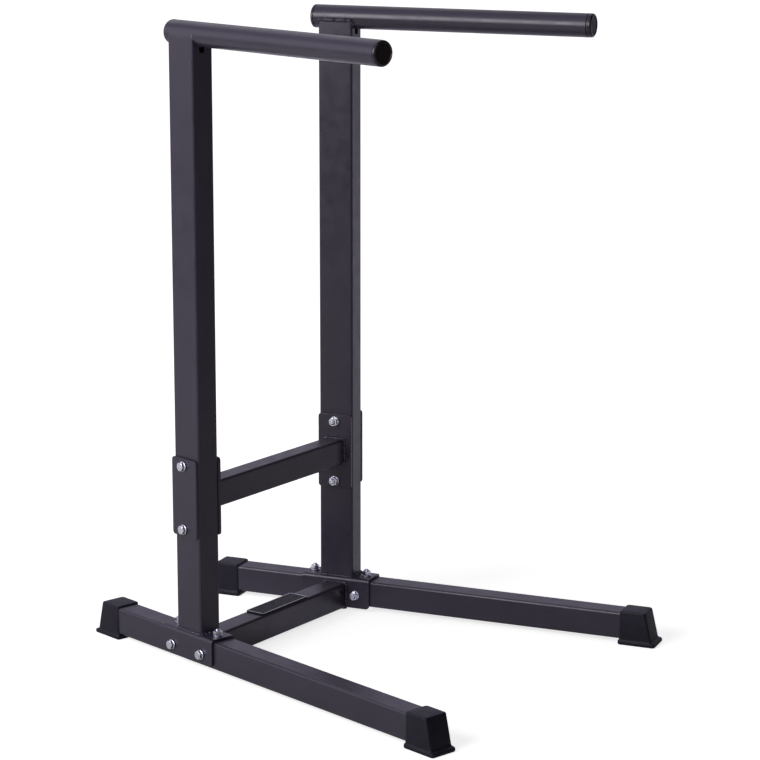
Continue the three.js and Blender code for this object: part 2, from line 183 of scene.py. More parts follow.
class StageSettings(bpy.types.PropertyGroup):
    """Camera, lamps and floor."""

    camera_place: FloatVectorProperty(
        name="Camera", description="Where the camera stands", subtype="TRANSLATION", size=3,
        default=(-3.35815, -2.42041, 1.35864))
    camera_turn: FloatVectorProperty(
        name="Camera turn", description="The camera's tilt, roll and heading", subtype="EULER", size=3,
        default=(math.radians(76.78), math.radians(-0.07), math.radians(-54.89)))
    lens: FloatProperty(
        name="Lens", description="Focal length", unit="CAMERA", min=1, default=125.95)
    raise_frame: a_share("Shift", "Share of the picture by which the frame is raised", 0.0526)
    ambient: a_share("Ambient", "Strength of the room's own light", 0.13)
    reflected_colour: a_colour(
        "Reflected room", "Colour of the room and floor in reflections", (0.84, 0.78, 1.0))
    floor_colour: a_colour("Floor", "Colour of the floor", (0.8, 0.8, 0.8))
    floor_glow: a_share("Floor glow", "How far the floor near the stand is lifted towards white", 0.74)
    glow_start: a_length("Glow start", "Distance at which the floor starts to turn white", 500)
    glow_end: a_length("Glow end", "Distance at which the floor is all white", 1600)
    near_glow: a_share(
        "Near glow", "Share of its glow in reflections that the floor keeps near the stand", 0.4)
    near_start: a_length("Near start", "Distance at which the reflected floor brightens", 600)
    near_end: a_length("Near end", "Distance at which the reflected floor is at its full glow", 3000)


GROUPS = {
    "dip_coat": CoatSettings,
    "dip_welds": WeldSettings,
    "dip_mouldings": MouldingSettings,
    "dip_fasteners": FastenerSettings,
    "dip_stage": StageSettings,
}


# Materials

def new_material(name, **sockets):
    """Adds a material, sets plain sockets of its Principled shader, and gives its nodes and shader."""
    material = bpy.data.materials.new(name)
    material.use_nodes = True
    shader = material.node_tree.nodes["Principled BSDF"]
    for socket, value in sockets.items():
        shader.inputs[socket.replace("_", " ")].default_value = value
    return material.node_tree, shader


def set_socket(tree, socket, value):
    """Gives a socket a plain value or another node's output."""
    if isinstance(value, bpy.types.NodeSocket):
        tree.links.new(value, socket)
    else:
        socket.default_value = value


def add(tree, kind, sockets=None, **settings):
    """Adds a node, with its settings and the values of its sockets."""
    made = tree.nodes.new(f"ShaderNode{kind}")
    for name, value in settings.items():
        setattr(made, name, value)
    for name, value in (sockets or {}).items():
        set_socket(tree, made.inputs[name], value)
    return made


def calculate(tree, operation, *values):
    """The result of a Math node."""
    made = add(tree, "Math", dict(enumerate(values)), operation=operation)
    return made.outputs["Value"]


def calculate_vector(tree, operation, result, *values):
    """The result of a Vector Math node, which is its "Vector" or its "Value"."""
    made = add(tree, "VectorMath", dict(enumerate(values)), operation=operation)
    return made.outputs[result]


def noise(tree, size, detail=2.0, stretch=(1, 1, 1)):
    """Noise in the object's own space with features of about the given size."""
    place = add(tree, "TexCoord").outputs["Object"]
    scaled = add(tree, "Mapping", {"Vector": place, "Scale": stretch})
    return add(tree, "TexNoise", {
        "Vector": scaled.outputs["Vector"], "Scale": 1 / size, "Detail": detail,
    }).outputs["Fac"]


def ramp(tree, factor, low, high, start, stop):
    """Spreads a factor between two numbers."""
    return add(tree, "MapRange", {
        "Value": factor, "From Min": start, "From Max": stop, "To Min": low, "To Max": high,
    }).outputs["Result"]


def patches(tree, size, detail=2.0, low=0.0, high=1.0, start=0.3, stop=0.7, stretch=(1, 1, 1)):
    """Soft patches of about the given size, spread between two numbers."""
    return ramp(tree, noise(tree, size, detail, stretch), low, high, start, stop)


def blend_colours(tree, factor, low, high):
    made = add(tree, "Mix", {"Factor": factor}, data_type="RGBA")
    set_socket(tree, made.inputs[MIX_LOW], low)
    set_socket(tree, made.inputs[MIX_HIGH], high)
    return made.outputs[MIX_RESULT]


def shade(colour, share):
    return (*[channel * share for channel in colour], 1)


def edge_mask(tree, radius, share):
    """Near the given share on outer and inner edges, and 0 on open faces."""
    turned, flat = 0.86, 0.995
    soft = add(tree, "Bevel", {"Radius": radius}, samples=4).outputs["Normal"]
    sharp = add(tree, "NewGeometry").outputs["Normal"]
    meet = calculate_vector(tree, "DOT_PRODUCT", "Value", soft, sharp)
    mask = ramp(tree, meet, 1.0, 0.0, start=turned, stop=flat)
    return calculate(tree, "MULTIPLY", mask, share)


def dress(tree, shader, colour, dull, *layers):
    """Gives a shader its colour, its roughness, and layers of (height, distance), the deepest first."""
    tree.links.new(colour, shader.inputs["Base Color"])
    tree.links.new(dull, shader.inputs["Roughness"])
    normal = None
    for height, distance in layers:
        sockets = {"Height": height, "Distance": distance, "Strength": 1.0}
        if normal is not None:
            sockets["Normal"] = normal
        normal = add(tree, "Bump", sockets).outputs["Normal"]
    tree.links.new(normal, shader.inputs["Normal"])


def coat_material(name):
    """Satin powder coat: soft ripples, fine grain, and paler edges that stand for wear and a painted
    highlight.
    """
    coat = bpy.context.scene.dip_coat
    tree, shader = new_material(name, Specular_IOR_Level=0.5)
    dark, pale, specks, worn_and_highlit = (shade(coat.colour, share) for share in (0.88, 1.12, 1.5, 3.2))
    base = blend_colours(tree, patches(tree, 60 * MM, detail=3), dark, pale)
    base = blend_colours(tree, patches(tree, coat.grain, detail=1, high=0.5), base, specks)
    # Paler edges: edge wear, with a painted highlight along every edge
    base = blend_colours(tree, edge_mask(tree, 1.2 * MM, coat.edge_wear_and_highlight), base, worn_and_highlit)
    dull = patches(tree, 25 * MM, detail=1, low=coat.roughness - 0.04, high=coat.roughness + 0.06)
    ripples, grain = noise(tree, coat.peel, detail=1), noise(tree, coat.grain)
    dress(tree, shader, base, dull, (ripples, 0.04 * MM), (grain, 0.012 * MM))


def rubber_material(name):
    """Black moulded rubber: fine grain, with paler scuffs on its edges."""
    colour = bpy.context.scene.dip_mouldings.foot_colour
    roughness, grain, depth, scuffs = 0.45, 0.5 * MM, 0.03 * MM, 0.3
    tree, shader = new_material(name, Specular_IOR_Level=0.24)
    dark, pale, scuffed = (shade(colour, share) for share in (0.75, 1.35, 3.5))
    base = blend_colours(tree, patches(tree, 18 * MM, detail=4), dark, pale)
    base = blend_colours(tree, edge_mask(tree, 1.0 * MM, scuffs), base, scuffed)
    dull = patches(tree, 5 * MM, detail=3, low=roughness - 0.07, high=roughness + 0.08)
    coarse, fine = noise(tree, 6 * grain, detail=2), noise(tree, grain, detail=1)
    dress(tree, shader, base, dull, (coarse, 2 * depth), (fine, depth))


def plug_dish_material(name):
    """Plug face with a mottled, brownish skin."""
    colour = bpy.context.scene.dip_mouldings.plug_colour
    brown = (0.022, 0.0125, 0.0135, 1)
    tree, shader = new_material(name, Specular_IOR_Level=0.12)
    mottle = patches(tree, 6 * MM, detail=3, start=0.4, stop=0.65)
    base = blend_colours(tree, mottle, shade(colour, 0.8), brown)
    dull = ramp(tree, mottle, 0.4, 0.52, start=0.0, stop=1.0)
    lumps, grain = noise(tree, 2.2 * MM), noise(tree, 0.5 * MM)
    dress(tree, shader, base, dull, (lumps, 0.12 * MM), (grain, 0.03 * MM))


def plug_rim_material(name):
    """Smooth satin plastic of the plug's rounded rim."""
    colour = bpy.context.scene.dip_mouldings.plug_colour
    tree, shader = new_material(name, Specular_IOR_Level=0.5)
    drift = patches(tree, 9 * MM)
    base = blend_colours(tree, drift, shade(colour, 1.0), shade(colour, 1.7))
    dull = ramp(tree, drift, 0.22, 0.3, start=0.0, stop=1.0)
    dress(tree, shader, base, dull, (noise(tree, 3 * MM, detail=1), 0.04 * MM))


def zinc_material(name):
    """Bright zinc with faint blotches and fine scratches."""
    colour = bpy.context.scene.dip_fasteners.colour
    warm = (colour[0] * 0.86, colour[1] * 0.84, colour[2] * 0.8, 1)
    tree, shader = new_material(name, Metallic=1.0)
    base = blend_colours(tree, patches(tree, 4 * MM, detail=3), shade(colour, 1.05), warm)
    dull = patches(tree, 1.5 * MM, detail=3, low=0.14, high=0.3)
    waves, scratches = noise(tree, 2.5 * MM), noise(tree, 0.6 * MM, stretch=(1, 1, 6))
    dress(tree, shader, base, dull, (waves, 0.05 * MM), (scratches, 0.015 * MM))


def badge_material(name):
    """Smooth black enamel of the blank badge."""
    dark, pale = (0.009, 0.009, 0.011, 1), (0.016, 0.015, 0.018, 1)
    tree, shader = new_material(name, Specular_IOR_Level=0.2)
    base = blend_colours(tree, patches(tree, 12 * MM, detail=3), dark, pale)
    dull = patches(tree, 6 * MM, detail=4, low=0.46, high=0.6)
    dress(tree, shader, base, dull, (noise(tree, 3 * MM), 0.03 * MM))


def badge_line_material(name):
    """Pale brushed line round the badge."""
    dark, pale = (0.36, 0.36, 0.38, 1), (0.62, 0.62, 0.64, 1)
    tree, shader = new_material(name, Metallic=0.7)
    brush = patches(tree, 0.8 * MM, stretch=(0.08, 1, 1))
    dull = ramp(tree, brush, 0.3, 0.5, start=0.0, stop=1.0)
    dress(tree, shader, blend_colours(tree, brush, dark, pale), dull, (brush, 0.01 * MM))


# Each finish has its slot in the frame and the function that makes its material
FINISHES = {
    "powder_coat": ("steel_paint", coat_material),
    "moulded_rubber": ("foot_rubber", rubber_material),
    "plug_rim": ("plug_moulding", plug_rim_material),
    "plug_dish": ("plug_moulding", plug_dish_material),
    "zinc_plating": ("zinc", zinc_material),
    "badge_enamel": ("badge", badge_material),
    "badge_line": ("badge", badge_line_material),
}


# Building meshes

def add_object(name, data):
    """Puts an object into the scene."""
    made = bpy.data.objects.new(name, data)
    bpy.context.scene.collection.objects.link(made)
    return made


def mesh_from(name, bm):
    """Turns a bmesh into a mesh."""
    mesh = bpy.data.meshes.new(name)
    bm.to_mesh(mesh)
    bm.free()
    return mesh


def finish_piece(name, bm, nodes=(), finish="powder_coat", angle=32.0):
    """Turns a bmesh into a piece that rides on the frame and stands for the given nodes."""
    slot, make_material = FINISHES[finish]
    bmesh.ops.recalc_face_normals(bm, faces=bm.faces)
    mesh = mesh_from(name, bm)
    mesh.shade_smooth()
    mesh.set_sharp_from_angle(angle=math.radians(angle))
    if finish not in bpy.data.materials:
        make_material(finish)
    mesh.materials.append(bpy.data.materials[finish])
    piece = add_object(name, mesh)
    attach(piece, BODY)
    if nodes:
        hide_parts(*nodes)
    return piece


def add_rings(bm, rings, loop=False):
    """Joins rings of equal count with quads; without a loop, both ends get a fan to their middle."""
    levels = [[bm.verts.new(point) for point in ring] for ring in rings]
    pairs = list(zip(levels, levels[1:]))
    if loop:
        pairs.append((levels[-1], levels[0]))
    for low, high in pairs:
        for i in range(len(low)):
            j = (i + 1) % len(low)
            bm.faces.new((low[i], low[j], high[j], high[i]))
    if loop:
        return
    for ring in (levels[0], levels[-1]):
        centre = bm.verts.new(sum((v.co for v in ring), Vector()) / len(ring))
        for i in range(len(ring)):
            bm.faces.new((centre, ring[i], ring[(i + 1) % len(ring)]))


def ring_about(steps, place):
    """A ring about +X; place gives its radius and its place along the axis at each angle."""
    points = []
    for i in range(steps):
        angle = TURN * i / steps
        radius, along = place(angle)
        points.append(Vector((along, radius * math.cos(angle), radius * math.sin(angle))))
    return points


def circle(radius, along, steps):
    return ring_about(steps, lambda angle: (radius, along))


def add_turned(bm, profile, steps, loop=False):
    """A body of revolution about +X, from (along, radius) points."""
    add_rings(bm, [circle(radius, along, steps) for along, radius in profile], loop)


def turned_piece(name, profile, steps, place, nodes=(), finish="powder_coat", loop=False):
    """A piece turned about its own +X and then set in its place."""
    bm = bmesh.new()
    add_turned(bm, profile, steps, loop)
    bm.transform(place)
    finish_piece(name, bm, nodes, finish)


def arc(middle_x, middle_y, radius_x, radius_y, start, stop, steps):
    """Points of a quarter or other arc, with its angles in degrees."""
    points = []
    for i in range(steps + 1):
        angle = math.radians(start + (stop - start) * i / steps)
        points.append((middle_x + radius_x * math.cos(angle), middle_y + radius_y * math.sin(angle)))
    return points


def rounded_ring(half_width, inner, outer, height, corner, steps=8):
    """A rounded rectangle: half_width each way in X, from inner to outer in Y."""
    points = []
    for quarter, (x, y) in enumerate(((1, 1), (-1, 1), (-1, -1), (1, -1))):
        for step in range(steps + 1):
            angle = (quarter + step / steps) * math.pi / 2
            edge = outer if y > 0 else inner
            points.append(Vector((
                x * (half_width - corner) + corner * math.cos(angle),
                edge - y * corner + corner * math.sin(angle),
                height,
            )))
    return points


def mesh_of(node):
    """A clean copy of a CAD node's mesh, with its corners joined."""
    joined, level = 0.001 * MM, math.radians(0.3)
    bm = bmesh.new()
    bm.from_mesh(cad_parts[node].data)
    bmesh.ops.remove_doubles(bm, verts=bm.verts, dist=joined)
    bmesh.ops.dissolve_limit(bm, angle_limit=level, verts=bm.verts, edges=bm.edges)
    return bm


def flatten_faces(piece):
    """Keeps large faces flat in the shading, so that only the rounded corners turn."""
    weighted = piece.modifiers.new("flat_faces", "WEIGHTED_NORMAL")
    weighted.keep_sharp = True
    weighted.weight = 80


def soften_edges(piece, width):
    """Rounds a piece's sharp edges."""
    bevel = piece.modifiers.new("soft_edges", "BEVEL")
    bevel.width = width
    bevel.segments = 3
    bevel.limit_method = "ANGLE"
    bevel.angle_limit = math.radians(50)
    bevel.use_clamp_overlap = False
    bevel.harden_normals = True


def cut_from(piece, cutter_bm):
    """Cuts a closed body out of a piece and keeps the result as its mesh."""
    bmesh.ops.recalc_face_normals(cutter_bm, faces=cutter_bm.faces)
    mesh = mesh_from("cutter", cutter_bm)
    cutter = add_object("cutter", mesh)
    boolean = piece.modifiers.new("cut", "BOOLEAN")
    boolean.operation = "DIFFERENCE"
    boolean.solver = "EXACT"
    boolean.object = cutter
    bpy.context.view_layer.update()
    result = bpy.data.meshes.new_from_object(piece.evaluated_get(bpy.context.evaluated_depsgraph_get()))
    piece.modifiers.remove(boolean)
    old = piece.data
    piece.data = result
    bpy.data.meshes.remove(old)
    bpy.data.objects.remove(cutter)
    bpy.data.meshes.remove(mesh)
    result.shade_smooth()
    result.set_sharp_from_angle(angle=math.radians(40))


# Welds

def add_bead(bm, path, radius, welds, rng, closed):
    """A rippled bead along a path of points."""
    around, thin_end = 10, 0.35
    off_path = Vector((0.13, 0.21, 0.97))
    smooth = resample(path, welds.ripple / RIPPLE_RINGS, closed)
    count = len(smooth)
    rings = []
    for i, point in enumerate(smooth):
        ahead = smooth[(i + 1) % count] if closed else smooth[min(i + 1, count - 1)]
        behind = smooth[i - 1] if closed or i else smooth[0]
        along = (ahead - behind).normalized()
        side = along.cross(off_path).normalized()
        up = along.cross(side)
        phase = (i % RIPPLE_RINGS) / RIPPLE_RINGS
        if i % RIPPLE_RINGS == 0:
            lump = welds.unevenness * rng.uniform(-1, 1)
        swell = radius * (1 - welds.height * phase + lump)
        if not closed:
            swell *= min(1.0, thin_end + min(i, count - 1 - i) / RIPPLE_RINGS)
        turns = [TURN * k / around for k in range(around)]
        rings.append([point + swell * (math.cos(turn) * side + math.sin(turn) * up) for turn in turns])
    add_rings(bm, rings, loop=closed)


def resample(path, step, closed):
    """Points at about equal steps along a polyline, in whole ripples where it is closed."""
    points = list(path) + ([path[0]] if closed else [])
    lengths = [0.0]
    for a, b in zip(points, points[1:]):
        lengths.append(lengths[-1] + (b - a).length)
    count = max(RIPPLE_RINGS, round(lengths[-1] / step))
    if closed:
        count += -count % RIPPLE_RINGS
    made = []
    place = 0
    for i in range(count if closed else count + 1):
        want = lengths[-1] * i / count
        while place < len(points) - 2 and lengths[place + 1] < want:
            place += 1
        span = lengths[place + 1] - lengths[place]
        share = (want - lengths[place]) / span if span else 0
        made.append(points[place].lerp(points[place + 1], min(1, share)))
    return made


# Operators

class DIPSTATION_OT_stage(bpy.types.Operator):
    """Set up the camera, the lamps and the pale floor"""

    bl_idname = "dip_station.stage"
    bl_label = "Stage"

    sensor = 36.0
    aim = (0, 0, 0.5)
    floor_half = 30
    floor_drop = 0.05 * MM
    # Name, place, size and power of each lamp
    softboxes = (
        ("key_softbox", (-2.75, 0.63, 1.85), (2.0, 1.6), 62),
        ("top_softbox", (1.3, 1.8, 3.0), (2.4, 2.4), 8),
        ("side_softbox", (-1.7, 2.9, 1.5), (2.2, 2.2), 8),
    )
    # How white the room and the floor are in reflections, by heading from +X in degrees
    room_glows = {30: 0.55, 120: 0.57, 170: 0.6, 210: 0.6}
    floor_glows = {30: 0.9, 75: 0.4, 300: 0.08}

    def execute(self, context):
        stage = context.scene.dip_stage
        context.scene.view_settings.view_transform = "Standard"
        self.camera(context, stage)
        self.lamps()
        self.world(context, stage)
        self.floor(stage)
        return {"FINISHED"}

    def camera(self, context, stage):
        data = bpy.data.cameras.new("camera")
        data.sensor_width = self.sensor
        data.lens = stage.lens
        data.shift_y = stage.raise_frame
        camera = add_object("camera", data)
        camera.location = stage.camera_place
        camera.rotation_euler = stage.camera_turn
        context.scene.camera = camera

    def lamps(self):
        for name, place, size, watts in self.softboxes:
            data = bpy.data.lights.new(name, "AREA")
            data.shape = "RECTANGLE"
            data.size, data.size_y = size
            data.energy = watts
            lamp = add_object(name, data)
            lamp.location = place
            lamp.rotation_euler = (Vector(place) - Vector(self.aim)).to_track_quat("Z", "Y").to_euler()

    def world(self, context, stage):
        """White to the lens, pale in reflections on its bright sides, and dim as light."""
        world = bpy.data.worlds.new("studio")
        world.use_nodes = True
        tree = world.node_tree
        direction = add(tree, "TexCoord").outputs["Generated"]
        background = tree.nodes["Background"]
        plain = calculate(tree, "MAXIMUM", self.seen(tree), stage.ambient)
        self.shine(tree, stage, plain, self.glow(tree, direction, self.room_glows),
                   background.inputs["Color"], background.inputs["Strength"])
        context.scene.world = world

    def seen(self, tree):
        """1 for what the lens sees by itself or through glass."""
        rays = add(tree, "LightPath").outputs
        return calculate(tree, "MAXIMUM", rays["Is Camera Ray"], rays["Is Transmission Ray"])

    def shine(self, tree, stage, plain, mirrored, colour, strength):
        """Sets a colour and a strength that are plain, or those of the room in reflections."""
        glossy = add(tree, "LightPath").outputs["Is Glossy Ray"]
        tinted = blend_colours(tree, glossy, (1, 1, 1, 1), (*stage.reflected_colour, 1))
        tree.links.new(tinted, colour)
        tree.links.new(ramp(tree, glossy, plain, mirrored, start=0, stop=1), strength)

    def glow(self, tree, direction, glows):
        """How white reflections see a direction: soft sums round the bright headings, 1 at most."""
        flat = calculate_vector(tree, "MULTIPLY", "Vector", direction, (1, 1, 0))
        unit = calculate_vector(tree, "NORMALIZE", "Vector", flat)
        total = 0.0
        for heading, white in glows.items():
            toward = (math.cos(math.radians(heading)), math.sin(math.radians(heading)), 0)
            meet = calculate_vector(tree, "DOT_PRODUCT", "Value", unit, toward)
            front = calculate(tree, "MAXIMUM", meet, 0.0)
            soft = calculate(tree, "MULTIPLY", front, front)
            total = calculate(tree, "ADD", calculate(tree, "MULTIPLY", soft, white), total)
        return calculate(tree, "MINIMUM", total, 1.0)

    def floor(self, stage):
        """A plain floor that keeps the shadow and turns white with distance from the stand."""
        bm = bmesh.new()
        bmesh.ops.create_grid(bm, x_segments=1, y_segments=1, size=self.floor_half)
        mesh = mesh_from("floor", bm)
        floor = add_object("floor", mesh)
        floor.location.z = -self.floor_drop
        tree, shader = new_material("floor", Roughness=0.9, Specular_IOR_Level=0.1)
        shader.inputs["Base Color"].default_value = (*stage.floor_colour, 1)
        place = add(tree, "NewGeometry").outputs["Position"]
        reach = calculate_vector(tree, "LENGTH", "Value", place)
        white = ramp(tree, reach, stage.floor_glow, 1.0, start=stage.glow_start, stop=stage.glow_end)
        near = ramp(tree, reach, stage.near_glow, 1.0, start=stage.near_start, stop=stage.near_end)
        shown = calculate(tree, "MULTIPLY", self.seen(tree), white)
        mirrored = calculate(tree, "MULTIPLY", self.glow(tree, place, self.floor_glows), near)
        self.shine(tree, stage, shown, mirrored,
                   shader.inputs["Emission Color"], shader.inputs["Emission Strength"])
        mesh.materials.append(bpy.data.materials["floor"])


class DIPSTATION_OT_tubes(bpy.types.Operator):
    """Coat the runners, posts and cross bars, and open the rims of the posts' vent holes"""

    bl_idname = "dip_station.tubes"
    bl_label = "Tubes"

    sink = 1.6 * MM
    sink_depth = 1.6 * MM
    sink_steps = 40
    overrun = 1 * MM
    cutter_depth = 2.5 * MM
    # Where a vent hole's rim is looked for: off the front face, off the middle, and below the top
    rim_off_face = 0.05 * MM
    rim_off_middle = 8 * MM
    rim_below_top = (2 * MM, 60 * MM)

    def execute(self, context):
        nodes = [f"{side}_{piece}" for side in SIDES for piece in ("runner", "post")]
        nodes += ["base_bar", "mid_bar"]
        tubes = [finish_piece(f"{node}_tube", mesh_of(node), [node]) for node in nodes]
        for side in map(SideFrame, SIDES):
            self.countersink(side)
        for tube in tubes:
            flatten_faces(tube)
        return {"FINISHED"}

    def vent_rim(self, side):
        """The rim points of the vent hole in a post's front."""
        low, high = side.reach("post")
        least, most = self.rim_below_top
        return [
            p for p in side.points("post")
            if abs(p.y - low.y) < self.rim_off_face
            and abs(p.x) < self.rim_off_middle
            and high.z - most < p.z < high.z - least
        ]

    def countersink(self, side):
        """Opens the rim of the vent hole in a post's front."""
        rim = self.vent_rim(side)
        if not rim:
            raise RuntimeError("no vent hole found")
        centre = sum(rim, Vector()) / len(rim)
        radius = max((p - centre).length for p in rim)
        mouth = radius + self.sink + self.overrun
        cutter = bmesh.new()
        profile = [(-self.overrun, mouth), (self.sink_depth, radius), (self.cutter_depth, radius)]
        add_turned(cutter, profile, self.sink_steps)
        cutter.transform(side.place(centre, 1))
        cut_from(bpy.data.objects[f"{side.name}_post_tube"], cutter)


class DIPSTATION_OT_handles(bpy.types.Operator):
    """Build the round handles with fine walls"""

    bl_idname = "dip_station.handles"
    bl_label = "Handles"

    steps = 96
    wall = 2 * MM

    def execute(self, context):
        collar = context.scene.dip_mouldings.collar
        for side in map(SideFrame, SIDES):
            outer = side.radius("handle")
            inner = outer - self.wall
            low, high = side.reach("handle")
            rear = (high.y - low.y) / 2
            front = collar - rear
            profile = [(front, outer), (rear, outer), (rear, inner), (front, inner)]
            place = side.place(side.middle("handle"), 1)
            node = f"{side.name}_handle"
            turned_piece(f"{node}_tube", profile, self.steps, place, [node], loop=True)
        return {"FINISHED"}


class DIPSTATION_OT_plates(bpy.types.Operator):
    """Round the edges of the saddles and joint plates"""

    bl_idname = "dip_station.plates"
    bl_label = "Saddles and plates"

    edge = 0.7 * MM

    def execute(self, context):
        for side in SIDES:
            for piece in ("saddle", "outer_joint_plate", "inner_joint_plate"):
                node = f"{side}_{piece}"
                made = finish_piece(f"{node}_coated", mesh_of(node), [node])
                soften_edges(made, self.edge)
        return {"FINISHED"}


class DIPSTATION_OT_welds(bpy.types.Operator):
    """Run weld beads round the posts, handles and bar ends"""

    bl_idname = "dip_station.welds"
    bl_label = "Welds"

    corner = 4 * MM
    corner_steps = 8
    # Sizes of the handles' and bars' beads, as shares of the posts' beads
    handle_share = 1.2
    bar_share = 1.1
    flush_drop = 2.5 * MM
    flush_rise = 6 * MM
    flush_skin = 0.03 * MM
    flush_root = 1.6 * MM
    flush_taper = 5 * MM
    flush_steps = 12
    flush_stations = 24

    def execute(self, context):
        for side in map(SideFrame, SIDES):
            self.post_foot(side)
            self.post_top(side)
            self.flush_weld(side)
        for bar, plate in (("base_bar", "saddle"), ("mid_bar", "inner_joint_plate")):
            for side in map(SideFrame, SIDES):
                self.bar_end(side, bar, plate)
        return {"FINISHED"}

    def bead(self, name, path, closed, share=1.0):
        welds = bpy.context.scene.dip_welds
        bm = bmesh.new()
        add_bead(bm, path, welds.radius * share, welds, random.Random(name), closed)
        finish_piece(name, bm, angle=60)

    def outline(self, low, high, height):
        """A post's rounded outline in its side frame, with the height that is given at each point."""
        half_width = (high.x - low.x) / 2
        ring = rounded_ring(half_width, low.y, high.y, 0, self.corner, self.corner_steps)
        return [Vector((p.x, p.y, height(p))) for p in ring]

    def post_foot(self, side):
        low, high = side.reach("post")
        ring = self.outline(low, high, lambda p: low.z)
        self.bead(f"{side.name}_post_foot_weld", [side.matrix @ p for p in ring], True)

    def post_top(self, side):
        """A rough bead along the inner wall and round the handle's underside at the front and rear."""
        low, high = side.reach("post")
        axis, radius = side.middle("handle").z, side.radius("handle")

        def height(p):
            across = min(abs(p.x), radius)
            return min(high.z, axis - math.sqrt(radius ** 2 - across ** 2))

        ring = self.outline(low, high, height)
        corner = self.corner_steps + 1
        path = [Vector((side.outward * p.x, p.y, p.z)) for p in ring[corner - 1:3 * corner + 1]]
        name = f"{side.name}_handle_weld"
        self.bead(name, [side.matrix @ p for p in path], False, self.handle_share)

    def flush_weld(self, side):
        """The outer wall's weld, ground flush so that the wall runs into the handle's round side."""
        low, high = side.reach("post")
        axis, radius = side.middle("handle").z, side.radius("handle")
        wall = (high.x - low.x) / 2 + self.flush_skin
        sine = self.flush_rise / radius
        cosine = math.sqrt(1 - sine ** 2)
        start = Vector((wall, high.z - self.flush_drop))
        end = Vector(((radius + self.flush_skin) * cosine, axis + self.flush_rise))
        knee = Vector((wall, end.y - (wall - end.x) * cosine / sine))
        face = []
        for i in range(self.flush_steps + 1):
            t = i / self.flush_steps
            face.append((1 - t) ** 2 * start + 2 * t * (1 - t) * knee + t ** 2 * end)
        root = Vector((self.flush_root, 0))
        face += [end - root, start - root]
        rings = []
        for i in range(self.flush_stations + 1):
            along = low.y + (high.y - low.y) * i / self.flush_stations
            edge = min(along - low.y, high.y - along)
            sunk = self.flush_root * (1 - min(1.0, edge / self.flush_taper)) ** 2
            rings.append([side.matrix @ Vector((side.outward * (p.x - sunk), along, p.y)) for p in face])
        bm = bmesh.new()
        add_rings(bm, rings)
        finish_piece(f"{side.name}_flush_weld", bm, angle=60)

    def bar_end(self, side, bar, plate):
        """Round a bar's end, in the plane of the plate that it meets."""
        low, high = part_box(bar)
        inner, outer = side.reach(plate)
        face = inner.x if side.outward > 0 else outer.x
        depth, height = (high.y - low.y) / 2, (high.z - low.z) / 2
        centre = (low + high) / 2
        normal = side.matrix.to_3x3() @ Vector((1, 0, 0))
        base = side.matrix @ Vector((face, 0, 0))
        path = []
        for p in rounded_ring(depth, -height, height, 0, self.corner):
            start = Vector((0, centre.y + p.x, centre.z + p.y))
            across = (base - start).dot(normal) / normal.x
            path.append(start + Vector((across, 0, 0)))
        self.bead(f"{side.name}_{bar}_weld", path, True, self.bar_share)


class DIPSTATION_OT_feet(bpy.types.Operator):
    """Mould the rubber feet over the runners' ends"""

    bl_idname = "dip_station.feet"
    bl_label = "Feet"

    pocket_overrun = 20 * MM
    pocket_corner = 4.3 * MM
    # Share of the lip at which its rounded edge ends and its hollow blend begins
    lip_knee = 0.6
    edge_steps = 4
    lip_steps = 5

    def execute(self, context):
        for side in map(SideFrame, SIDES):
            low, high = side.reach("runner")
            for end, quarters, edge in (("front", 2, low.y), ("rear", 0, high.y)):
                node = f"{side.name}_{end}_foot"
                top = side.reach(f"{end}_foot")[1].z
                self.foot(context, node, side.place((0, edge, 0), quarters), low, high, top)
        return {"FINISHED"}

    def foot(self, context, node, place, low, high, top):
        m = context.scene.dip_mouldings
        half = (high.x - low.x) / 2
        gap = top - high.z - m.top_wall
        body = bmesh.new()
        add_rings(body, self.rings(m, half + gap + m.side_wall, top))
        body.transform(place)
        piece = finish_piece(f"{node}_moulded", body, [node], "moulded_rubber", angle=40)
        pocket = bmesh.new()
        depth = m.socket + self.pocket_overrun
        height = (high.z - low.z) / 2 + gap
        ring = rounded_ring(half + gap, -height, height, 0, self.pocket_corner)
        centre = (low.z + high.z) / 2
        add_rings(pocket, [[Vector((p.x, y, centre + p.y)) for p in ring] for y in (gap, gap - depth)])
        pocket.transform(place)
        cut_from(piece, pocket)

    def rings(self, m, half, top):
        """Outlines from the sole up: rounded edge, lip, hollow blend, sloped walls and rounded top."""
        edge, knee, foot = m.foot_edge, self.lip_knee, m.lip_height + m.lip_blend
        # Height, share of the lip, and inset of each outline
        levels = [(z, 1.0, x) for x, z in arc(edge, edge, edge, edge, 270, 180, self.edge_steps)]
        lip = arc(knee, m.lip_height - m.lip_round, 1 - knee, m.lip_round, 0, 90, self.lip_steps)
        lip += arc(knee, foot, knee, m.lip_blend, 270, 180, self.lip_steps)[1:]
        levels += [(z, share, 0.0) for share, z in lip]
        levels += [(z, 0.0, x) for x, z in arc(edge, top - edge, edge, edge, 180, 90, self.edge_steps)]
        made = []
        for z, share, inset in levels:
            slope = min(1.0, (top - z) / (top - foot))
            sides = m.side_slope * slope + m.side_lip * share - inset
            end = m.end_wall + m.end_slope * slope + m.lip * share - inset
            made.append(rounded_ring(half + sides, -m.socket - sides, end, z, m.foot_corner))
        return made


